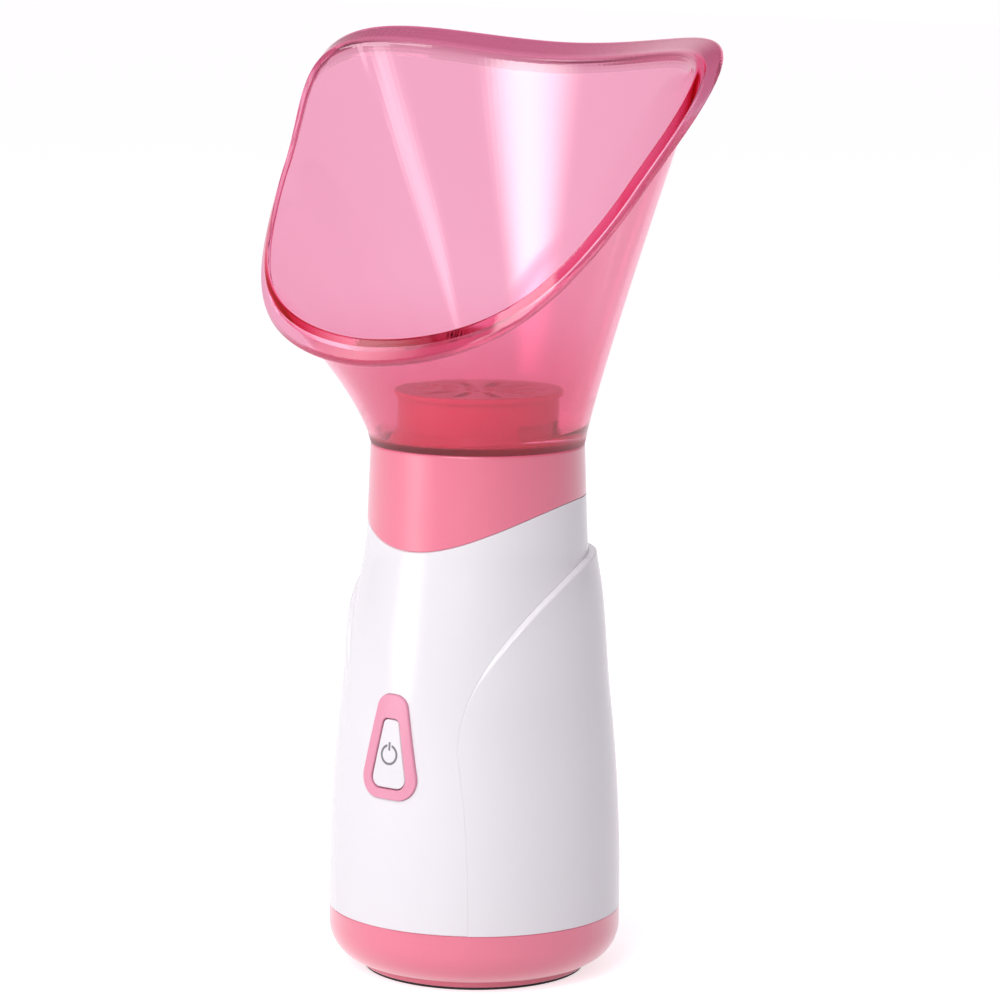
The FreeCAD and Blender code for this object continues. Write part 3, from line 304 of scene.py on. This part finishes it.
# --- Foot ring ------------------------------------------------------------------------------
# A soft black rubber ring, pressed into a groove under the base so that the steamer doesn't
# slide. It is the only piece that touches the table.

def dress(finish, *names):
    """Give CAD pieces their finish."""
    for name in names:
        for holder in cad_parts[name].material_slots:
            holder.material = finish


def noise(nodes, place, scale, detail):
    return nodes.node("ShaderNodeTexNoise", {}, {"Vector": place, "Scale": scale, "Detail": detail})


def coloured(nodes, colour, spread, size):
    """A colour with a faint cloudiness, its patches of about a given size."""
    place = nodes.node("ShaderNodeTexCoord", result="Object")
    cloud = noise(nodes, place, 1 / size, 3.0)
    darker = [level * (1 - spread) for level in colour]
    return place, nodes.mix(cloud, (*colour, 1), (*darker, 1))


def relief(nodes, height, depth):
    return nodes.node("ShaderNodeBump", {}, {"Height": height, "Distance": depth, "Strength": 1.0})


def finished(finish, nodes, sockets):
    """A finish whose surface is one principled shader."""
    surface = nodes.node("ShaderNodeBsdfPrincipled", {}, sockets)
    nodes.node("ShaderNodeOutputMaterial", {}, {"Surface": surface})
    return finish


plastic_patch = 0.02        # size of the patches in moulded plastic
coat_roughness = 0.28
gloss_floor = 0.85          # the gloss wavers from this share of the roughness...
gloss_swing = 0.3           # ...by up to this share


def moulded(name, colour, roughness, spread=0.04, peel=0.0012, depth=0.000006, coat=0.0):
    """Injection-moulded plastic: even colour, a soft gloss and the mould's faint orange peel."""
    finish, nodes = new_finish(name)
    place, tone = coloured(nodes, colour, spread, plastic_patch)
    rough = noise(nodes, place, 1 / peel, 2.0)
    bump = relief(nodes, rough, depth)
    gloss = roughness * gloss_floor + rough * (roughness * gloss_swing)
    return finished(finish, nodes, {
        "Base Color": tone, "Roughness": gloss, "Normal": bump,
        "Coat Weight": coat, "Coat Roughness": coat_roughness,
    })


foot_rubber = moulded("foot_rubber", (0.035, 0.033, 0.034), 0.75, peel=0.0004, depth=0.00003)
dress(foot_rubber, "foot_ring")


# --- Base and collar ------------------------------------------------------------------------
# The pink bowl that closes the housing from below, and the pink ring that holds cup and mask.
# Both are moulded in the same pink ABS with a satin gloss.
pink_abs = moulded("pink_abs", (0.86, 0.19, 0.29), 0.34, coat=1.0)
dress(pink_abs, "base_cover", "collar_ring")


# --- Screws ---------------------------------------------------------------------------------
# Zinc-plated steel screws: four through the base's wells, three under the collar, and small
# ones at the board and the inlet.
metal_spread = 0.10         # how much darker the patches on bare metal are...
metal_patch = 0.006         # ...and their size
metal_gloss_floor = 0.7
metal_gloss_swing = 0.6


def metal(name, colour, roughness, grain_size=(0.004, 0.004, 0.0004), depth=0.000004):
    """Bare metal with a drawn or brushed grain, long along the axes where its size is larger."""
    finish, nodes = new_finish(name)
    place, tone = coloured(nodes, colour, metal_spread, metal_patch)
    stretch = {"Vector": place, "Scale": tuple(1 / size for size in grain_size)}
    grain = noise(nodes, nodes.node("ShaderNodeMapping", {}, stretch), 1.0, 4.0)
    bump = relief(nodes, grain, depth)
    gloss = roughness * metal_gloss_floor + grain * (roughness * metal_gloss_swing)
    sockets = {"Base Color": tone, "Metallic": 1.0, "Roughness": gloss, "Normal": bump}
    return finished(finish, nodes, sockets)


zinc_steel = metal("zinc_steel", (0.62, 0.63, 0.64), 0.32)
dress(zinc_steel, "base_screws", "collar_screws", "board_screws", "inlet_screws")


# --- Housing --------------------------------------------------------------------------------
# Two white ABS shells that meet along an arch; the rear one stands a little proud of the front
# one at its upper edge. They are moulded with a high gloss.
white_abs = moulded("white_abs", (0.86, 0.85, 0.87), 0.20, spread=0.02)
dress(white_abs, "front_housing", "rear_housing")


# --- Mains inlet ----------------------------------------------------------------------------
# A black two-pole inlet, screwed to a pad behind the rear wall, with two brass pins.
black_plastic = moulded("black_plastic", (0.018, 0.018, 0.020), 0.42, peel=0.0006, depth=0.00001)
dress(black_plastic, "inlet_socket")
brass = metal("brass_pins", (0.72, 0.55, 0.26), 0.25)
dress(brass, "inlet_pins")


# --- Control board --------------------------------------------------------------------------
# A small board screwed to the front shell, with the switch and a lamp in front and the triac,
# the capacitor and the terminals behind.
board_green = moulded("board_green", (0.012, 0.14, 0.055), 0.35, spread=0.25)
dress(board_green, "control_board")
dress(black_plastic, "push_switch", "switch_plunger", "heater_triac")
led_lens = moulded("led_lens", (0.75, 0.05, 0.04), 0.15)
dress(led_lens, "indicator_led")
capacitor_yellow = moulded("capacitor_yellow", (0.80, 0.52, 0.06), 0.35)
dress(capacitor_yellow, "film_capacitor")
terminal_green = moulded("terminal_green", (0.03, 0.30, 0.09), 0.40)
dress(terminal_green, "terminal_block")


# --- Leads ----------------------------------------------------------------------------------
# Insulated leads: brown and blue from the inlet, red to the heater.
dress(moulded("lead_brown", (0.16, 0.055, 0.02), 0.45), "lead_live")
dress(moulded("lead_blue", (0.02, 0.10, 0.42), 0.45), "lead_neutral")
dress(moulded("lead_red", (0.55, 0.02, 0.02), 0.50), "lead_heater_a", "lead_heater_b")


# --- Water cup and heater -------------------------------------------------------------------
# A drawn aluminium cup, clamped in the collar; the heater element is pressed against a plate
# under it by a steel strap on two studs.
cup_aluminium = metal("cup_aluminium", (0.80, 0.81, 0.82), 0.28, (0.012, 0.012, 0.0003))
dress(cup_aluminium, "water_cup")
dress(zinc_steel, "clamp_nuts", "clamp_plate")
heater_aluminium = metal("heater_aluminium", (0.66, 0.67, 0.68), 0.42)
dress(heater_aluminium, "heater_plate", "ptc_heater", "thermostat", "thermal_fuse")
silicone = moulded("silicone", (0.75, 0.73, 0.70), 0.5)
dress(silicone, "cup_gasket")
pink_silicone = moulded("pink_silicone", (0.70, 0.13, 0.20), 0.5)
dress(pink_silicone, "nozzle_gasket", "mask_seal")


# --- Button ---------------------------------------------------------------------------------
# A white cap in a pink bezel that clips into the front shell; the grey power mark is let into
# the cap's face.
bezel_pink = moulded("bezel_pink", (0.84, 0.33, 0.46), 0.30)
dress(bezel_pink, "button_bezel")
white_button = moulded("white_button", (0.84, 0.83, 0.85), 0.24)
dress(white_button, "button_cap")
grey_mark = moulded("grey_mark", (0.20, 0.19, 0.21), 0.45)
dress(grey_mark, "power_mark")


# --- Steam nozzle ---------------------------------------------------------------------------
# A lift-out cap of deeper pink, with radial slots in its top plate and a splash disc inside.
nozzle_pink = moulded("nozzle_pink", (0.62, 0.03, 0.115), 0.30)
dress(nozzle_pink, "nozzle_cap", "splash_baffle")


# --- Mask -----------------------------------------------------------------------------------
# A clear pink funnel, moulded in one piece, that plugs into the collar on a silicone ring. Its
# mouth leans back and has a turned-out lip that rests on the face.
brow_pink = (0.58, 0.17, 0.29, 1)       # the lip along the brow, which is seen through its width
wall_pink = (0.85, 0.47, 0.60, 1)
neck_pink = (0.80, 0.34, 0.47, 1)       # the wall's colour deepens towards the neck...
neck_low = 0.168                        # ...over this stretch
neck_high = 0.200
frost_low = 0.1560                      # the spigot is frosted up to here...
frost_high = 0.1585                     # ...and the wall is polished from here
frost = 0.40
polish = 0.04
mask_ior = 1.5
mask_gloss = 0.55
let_out_pink = (0.97, 0.86, 0.91, 1)    # what a wall lets straight through
depth_pink = (0.90, 0.06, 0.36, 1)      # what deepens with the plastic's thickness
depth_density = 120.0
at_least_twice = 1.5

clear_pink, clear = new_finish("clear_pink")
along_brow = clear.node("ShaderNodeAttribute", {"attribute_name": "brow_lip"}, result="Fac")
on_mask = clear.node("ShaderNodeTexCoord", result="Object")
level = clear.node("ShaderNodeSeparateXYZ", {}, {"Vector": on_mask}).part("Z")
towards_neck = clear.node("ShaderNodeMapRange", {"interpolation_type": "SMOOTHSTEP"}, {
    "Value": level, "From Min": neck_low, "From Max": neck_high, "To Min": 1.0, "To Max": 0.0,
})
frosted = clear.node("ShaderNodeMapRange", {}, {
    "Value": level, "From Min": frost_low, "From Max": frost_high,
    "To Min": frost, "To Max": polish,
})
wall_tone = clear.mix(towards_neck, wall_pink, neck_pink)
tone = clear.mix(along_brow, wall_tone, brow_pink)
surface = clear.node("ShaderNodeBsdfPrincipled", {}, {
    "Base Color": tone, "Roughness": frosted, "IOR": mask_ior, "Transmission Weight": 1.0,
    "Specular IOR Level": mask_gloss,
})
# Shadows, soft light and what the walls mirror pass straight through a wall; only what is seen
# through it is bent. This keeps one highlight on each wall, instead of a row of weaker ones.
path = clear.node("ShaderNodeLightPath")
mirrored = path.part("Glossy Depth")
clear_of_wall = 1 - (path.part("Transmission Depth") > at_least_once)
caught = (mirrored > at_least_twice).max((mirrored > at_least_once) * clear_of_wall)
caught = caught.max(path.part("Is Shadow Ray")).max(path.part("Is Diffuse Ray"))
let_out = clear.node("ShaderNodeBsdfTransparent", {}, {"Color": let_out_pink})
shell = clear.node("ShaderNodeMixShader", {}, {0: caught, 1: surface, 2: let_out})
tint_sockets = {"Color": depth_pink, "Density": depth_density}
tint = clear.node("ShaderNodeVolumeAbsorption", {}, tint_sockets)
clear.node("ShaderNodeOutputMaterial", {}, {"Surface": shell, "Volume": tint})


def shaped(name, tree, values):
    """A plain mesh object out of a shape's node tree, for the given values of its inputs."""
    holder = bpy.data.objects.new(name, bpy.data.meshes.new(name))
    bpy.context.scene.collection.objects.link(holder)
    modifier = holder.modifiers.new("shape", "NODES")
    modifier.node_group = tree
    for socket in tree.interface.items_tree:
        if socket.item_type == "SOCKET" and socket.in_out == "INPUT":
            modifier[socket.identifier] = values[socket.name]
    evaluated = holder.evaluated_get(bpy.context.evaluated_depsgraph_get())
    mesh = bpy.data.meshes.new_from_object(evaluated)
    holder.modifiers.remove(modifier)
    holder.data = mesh
    return holder


mask_sizes = {
    "Collar Level": 0.1547,      # the mask's shoulder rests on the collar here
    "Neck Radius": 0.0310,
    "Wall": 0.0020,
    "Shoulder": 0.0024,          # height of the solid stretch above the collar
    "Chin Front": -0.0540,       # lowest point of the mouth
    "Chin Level": 0.1897,
    "Lean": math.radians(49.8),  # of the mouth, from upright
    "Length": 0.1148,
    "Half Width": 0.0608,
    "Spread": 0.173,             # the mouth is wider at the top...
    "Spread Both": 0.408,        # ...with this share of the widening at both ends
    "Chin Power": 1.8,           # 2 is an ellipse, more is squarer
    "Brow Power": 2.6,
    "Curl": -0.0070,             # how far the sides stand forward of the mouth's plane
    "Corner Curl": -0.0075,
    "Lip Chin": 0.0070,          # width of the turned-out lip
    "Lip Brow": 0.0110,
    "Lip Side": 0.0030,
    "Lip Back": 0.0030,
    "Front Flare": 1.39,         # 1 is a straight cone, more is a trumpet
    "Back Flare": 1.09,
}


def rule(name, varying, point_at):
    """A node group that gives a point from the mask's sizes and from what varies over it."""
    nodes = Nodes(bpy.data.node_groups.new(name, "GeometryNodeTree"))
    size = nodes.inputs({**mask_sizes, **dict.fromkeys(varying, 0.0)})
    point = point_at(nodes, size, *(size[key] for key in varying))
    nodes.output("Point", "NodeSocketVector", point)

    def use(made, size, *values):
        sockets = {**{key: size[key] for key in mask_sizes}, **dict(zip(varying, values))}
        return made.node("GeometryNodeGroup", {"node_tree": nodes.tree}, sockets)

    return use


def mouth_rule(nodes, size, angle, lip):
    """The mouth's edge (lip 0) or the turned-out lip's edge (lip 1); a quarter turn is the brow."""
    c = angle.cos()
    s = angle.sin()
    power = size["Chin Power"] + (size["Brow Power"] - size["Chin Power"]) * (s > 0)
    reach = (abs(c) ** power + abs(s) ** power) ** (-1 / power)
    up = reach * s
    across = reach * c * (1 + up * (size["Spread"] + up * size["Spread Both"]))
    length = size["Length"] + lip * (size["Lip Chin"] + size["Lip Brow"])
    rise = length * (1 + up) / 2 - lip * size["Lip Chin"]
    back = across * across * (size["Curl"] + size["Corner Curl"] * up) + lip * size["Lip Back"]
    lean = size["Lean"]
    y = size["Chin Front"] + rise * lean.sin() + back * lean.cos()
    z = size["Chin Level"] + rise * lean.cos() - back * lean.sin()
    return nodes.point((size["Half Width"] + lip * size["Lip Side"]) * across, y, z)


def ring(nodes, angle, radius, level):
    return nodes.point(angle.cos() * radius, angle.sin() * radius, level)


def inner_rule(nodes, size, angle, up):
    """The inner wall, from the neck (up 0) to the mouth's edge (up 1)."""
    foot = ring(nodes, angle, size["Neck Radius"] - size["Wall"], size["Collar Level"])
    span = mouth_point(nodes, size, angle, 0.0) - foot
    front = (1 - angle.sin()) / 2
    flare = size["Back Flare"] + (size["Front Flare"] - size["Back Flare"]) * front * front
    out = up ** flare
    return foot + span * nodes.point(out, out, up)


def normal_rule(nodes, size, angle, up):
    """The unit direction out of the wall, from points close together on its inner side."""
    def near(turn, above):
        return inner_point(nodes, size, turn, above)

    step = 0.01
    along = near(angle + step, up) - near(angle - step, up)
    rise = near(angle, up.min(1 - step) + step) - near(angle, up - step)
    return along.cross(rise).unit()


mouth_point = rule("mask_mouth", ["Angle", "Lip"], mouth_rule)
inner_point = rule("mask_inside", ["Angle", "Up"], inner_rule)
outward = rule("mask_outward", ["Angle", "Up"], normal_rule)


def between(start, end, share):
    return start + (end - start) * share


def bent(start, corner, end, share):
    """A round bend from start to end, along the lines to a corner."""
    return between(between(start, corner, share), between(corner, end, share), share)


mask_values = {**mask_sizes, "Columns": 289}     # 288 steps round; the first and last meet
mask = Nodes(bpy.data.node_groups.new("mask_shape", "GeometryNodeTree"))
sizes = mask.inputs(mask_values)
on_strip = mask.node("GeometryNodeInputPosition")
spot_on_strip = mask.node("ShaderNodeSeparateXYZ", {}, {"Vector": on_strip})
across_strip = spot_on_strip.part("Y") + half_share      # a strip runs from -0.5 to 0.5
round_mask = spot_on_strip.part("X") * -math.tau
wall = sizes["Wall"]
seat = sizes["Collar Level"]


def inside(up):
    return inner_point(mask, sizes, round_mask, up)


def outside(up):
    return inside(up) + outward(mask, sizes, round_mask, up) * wall


half_wall = wall * 0.5
shoulder = sizes["Shoulder"] / (sizes["Chin Level"] - seat)
fold_in = 0.985                  # the wall bends into the lip from here, on its inside...
fold_out = 0.962                 # ...and on its outside
lip_flat_in = 0.12               # the bends end at these shares of the lip's width
lip_flat_out = 0.38
edge = mouth_point(mask, sizes, round_mask, 0.0)
lip_end = mouth_point(mask, sizes, round_mask, 1.0)
lip_way = (lip_end - edge).unit()
behind = mask.point(0.0, sizes["Lean"].cos(), sizes["Lean"].sin() * -1)
lip_start = between(edge, lip_end, lip_flat_in)
lip_stop = lip_end - lip_way * half_wall
half_turn = across_strip * math.pi
rim_middle = lip_stop + behind * half_wall
rim_out = lip_way * (half_turn.sin() * half_wall)
rim = rim_middle + rim_out - behind * (half_turn.cos() * half_wall)
under_stop = lip_stop + behind * wall
under_start = between(edge, lip_end, lip_flat_out) + behind * wall
rim_way = outward(mask, sizes, round_mask, 1.0)
fold_corner = edge + (rim_way + behind) * (wall / (1 + rim_way.dot(behind)))
spigot = [
    # (radius, drop below the collar's rim): the seat, the seal's groove and the spigot's end
    (0.0310, 0.0), (0.0286, 0.0), (0.0286, 0.0036), (0.0276, 0.0036), (0.0276, 0.0058),
    (0.0286, 0.0058), (0.0286, 0.0075), (0.0268, 0.0075), (0.0268, 0.0),
]
rings = [ring(mask, round_mask, radius, seat - drop) for radius, drop in spigot]
brow_steepness = 2               # the deeper tone is whole a twelfth of a turn above the sides
brow_share = (round_mask.sin() * brow_steepness).max(0.0).min(1.0)
bands = [
    # (rows, point, share of the brow's deeper tone): once round the wall's section
    (40, inside(between(shoulder, fold_in, across_strip)), 0),
    (6, bent(inside(fold_in), edge, lip_start, across_strip), across_strip),
    (4, between(lip_start, lip_stop, across_strip), 1),
    (8, rim, 1),
    (3, between(under_stop, under_start, across_strip), 1),
    (6, bent(under_start, fold_corner, outside(fold_out), across_strip), 1 - across_strip),
    (40, outside(between(fold_out, shoulder, across_strip)), 0),
    (2, between(outside(shoulder), rings[0], across_strip), 0),
]
bands += [(1, between(*pair, across_strip), 0) for pair in zip(rings, rings[1:])]
bands += [(2, between(rings[-1], inside(shoulder), across_strip), 0)]
strips = []
for rows, point, lip in bands:
    grid = {"Size X": 1.0, "Size Y": 1.0, "Vertices X": sizes["Columns"], "Vertices Y": rows + 1}
    strip = mask.node("GeometryNodeMeshGrid", {}, grid)
    toned = {"Geometry": strip, "Name": "brow_lip", "Value": brow_share * lip}
    strip = mask.node("GeometryNodeStoreNamedAttribute", {}, toned)
    placed = {"Geometry": strip, "Position": point}
    strips.append(mask.node("GeometryNodeSetPosition", {}, placed))
weld = 0.00001
crisp_bend = 0.7                 # edges bent by more than this angle stay crisp
joined = mask.node("GeometryNodeJoinGeometry", {}, {"Geometry": strips})
welded = mask.node("GeometryNodeMergeByDistance", {}, {"Geometry": joined, "Distance": weld})
soft_edge = crisp_bend - mask.node("GeometryNodeInputMeshEdgeAngle") > 0
softened = {"Geometry": welded, "Shade Smooth": soft_edge}
skin = mask.node("GeometryNodeSetShadeSmooth", {"domain": "EDGE"}, softened)
mask.finish_shape(skin, clear_pink)
face_mask = shaped("face_mask_fine", mask.tree, mask_values)
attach(face_mask, "mask")
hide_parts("face_mask")
